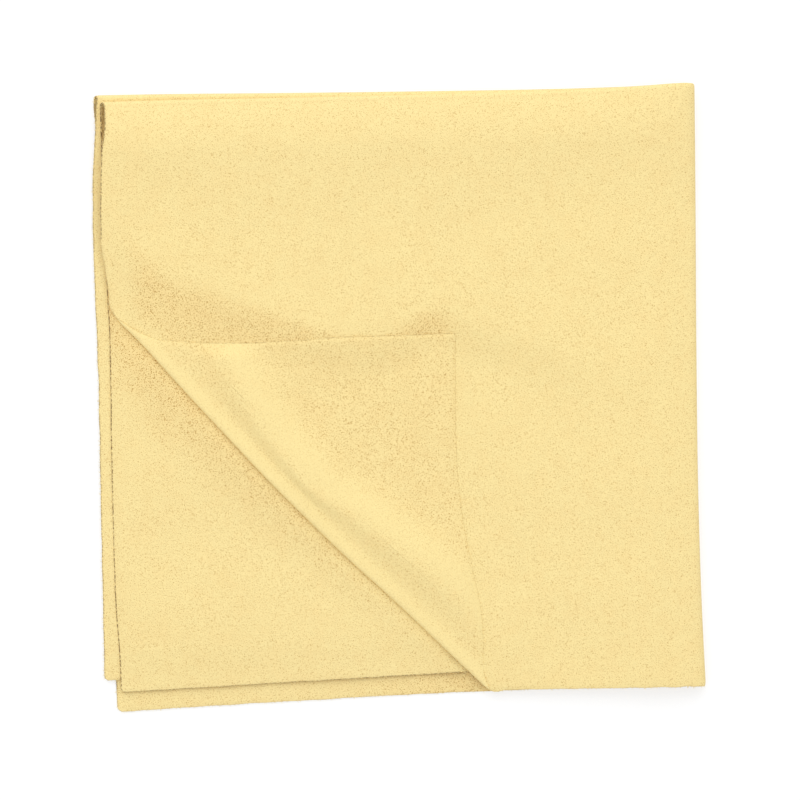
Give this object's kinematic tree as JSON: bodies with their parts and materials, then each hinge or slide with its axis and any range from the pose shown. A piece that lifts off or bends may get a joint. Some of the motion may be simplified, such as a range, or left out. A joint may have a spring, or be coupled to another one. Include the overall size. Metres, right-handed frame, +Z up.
{
  "type": "microfibre cleaning cloth",
  "caption": "Square cleaning cloth folded into a smaller square, with the free corner of its top layer turned back in a soft roll. It opens like a book at its spine.",
  "frame": {"origin": "middle of the folded square, on the underside of the bottom layer", "axes": "+X towards the spine where the folded cloth opens, +Y towards the folded top edge, +Z up from the table"},
  "size_m": [0.2007, 0.2062, 0.012],
  "materials": {
    "microfibre": "matt pale yellow non-woven microfibre with a short soft nap and raw cut edges"
  },
  "bodies": {
    "back_half": {"bottom_quarter": "microfibre", "third_quarter": "microfibre", "back_top_fold": "microfibre", "outer_spine_lower": "microfibre", "inner_spine_lower": "microfibre", "corner_fold_lower": "microfibre"},
    "front_half": {"top_quarter": "microfibre", "second_quarter": "microfibre", "front_top_fold": "microfibre", "outer_spine_upper": "microfibre", "inner_spine_upper": "microfibre", "corner_fold_upper": "microfibre", "roll_foot": "microfibre"},
    "roll_face": {"roll_face": "microfibre"},
    "roll_crest": {"roll_crest": "microfibre"},
    "turned_corner": {"turned_corner": "microfibre"}
  },
  "joints": [
    {"name": "book_fold", "type": "hinge", "parent": "back_half", "child": "front_half", "pos_m": [0.1, 0, 0.00365], "axis": [0, 1, 0], "range_deg": [0, 170]},
    {"name": "corner_turn", "type": "hinge", "parent": "front_half", "child": "roll_face", "pos_m": [-0.03456, -0.03292, 0.00346], "axis": [0.6905, -0.7233, -0.0025], "range_deg": [0, 36]},
    {"name": "roll_turn", "type": "hinge", "parent": "roll_face", "child": "roll_crest", "pos_m": [-0.03672, -0.03518, 0.00664], "axis": [0.7022, -0.7117, -0.0186], "range_deg": [0, 88]},
    {"name": "flap_turn", "type": "hinge", "parent": "roll_crest", "child": "turned_corner", "pos_m": [-0.03389, -0.0328, 0.00959], "axis": [0.6879, -0.7251, -0.0338], "range_deg": [0, 50]}
  ]
}
